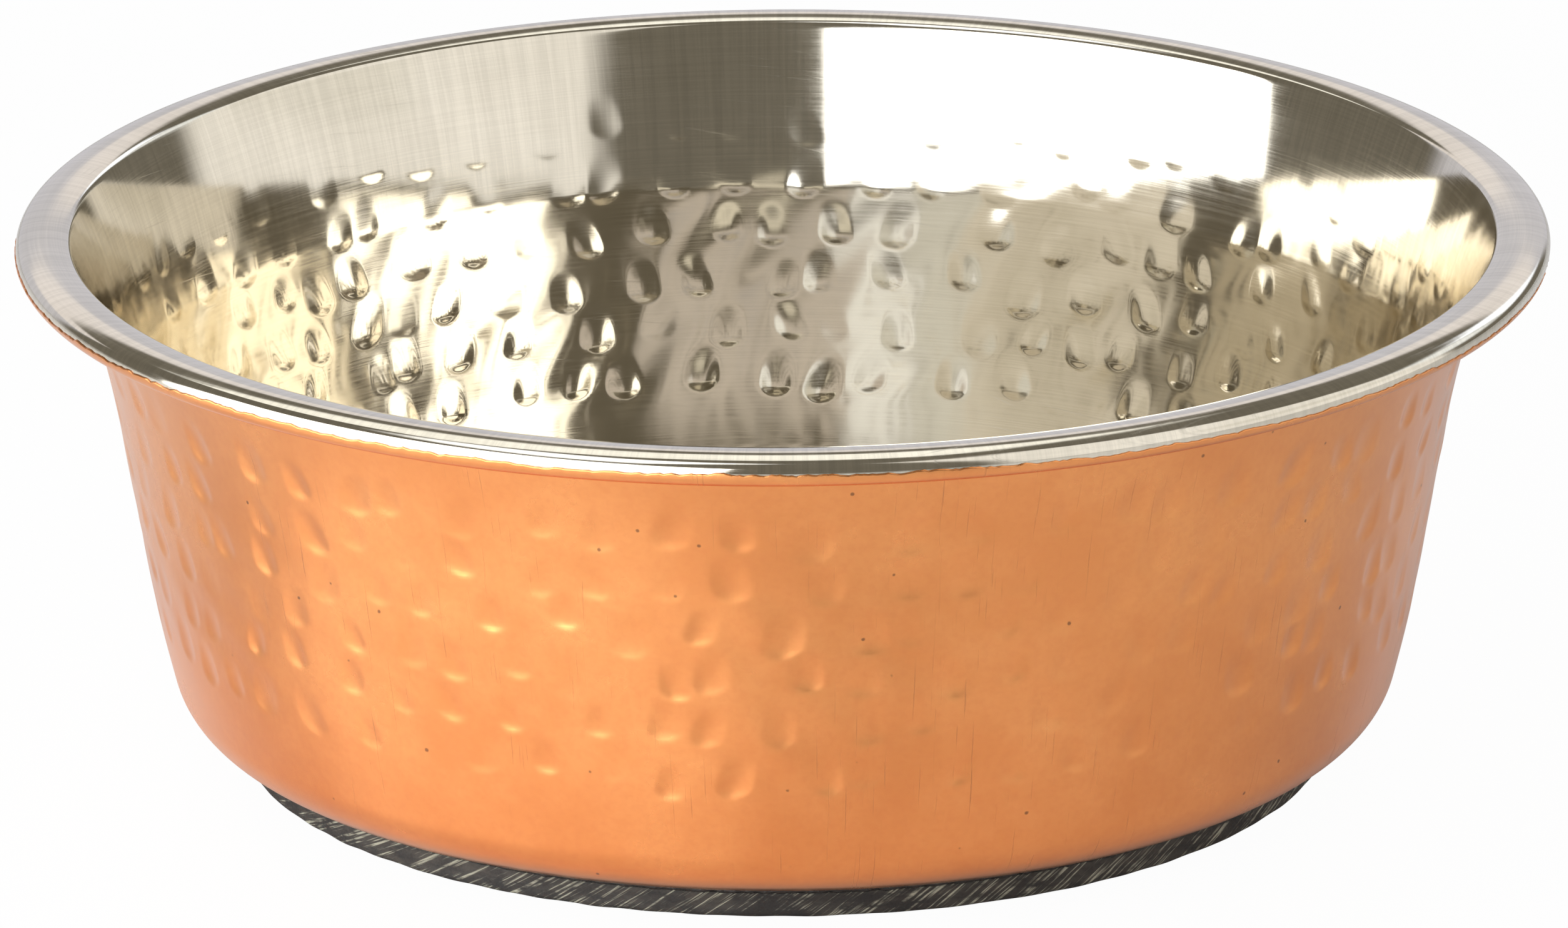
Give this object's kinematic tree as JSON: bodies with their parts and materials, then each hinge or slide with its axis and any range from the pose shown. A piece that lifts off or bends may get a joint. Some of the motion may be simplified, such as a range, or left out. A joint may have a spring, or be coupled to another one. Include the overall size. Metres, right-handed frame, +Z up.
{
  "type": "hammered pet bowl",
  "caption": "Shallow round pet bowl in hammered steel with a rolled rim, copper plated on the outside only, standing on a black non-slip rubber ring.",
  "frame": {"origin": "centre of the base, on the plane that the rubber ring rests on", "axes": "+Z up along the bowl's axis of revolution, X and Y across the rim"},
  "size_m": [0.216, 0.216, 0.076],
  "materials": {
    "stainless_steel": "polished, with fine brushed lines and hammered dimples",
    "copper": "satin copper, lacquered, with soft hammered dents and fine vertical hairlines",
    "black_rubber": "matt, scuffed",
    "black_adhesive": "glossy"
  },
  "bodies": {
    "root": {"steel_bowl": "stainless_steel", "copper_plating": "copper", "rubber_ring": "black_rubber", "bond_bead": "black_adhesive"}
  },
  "joints": []
}
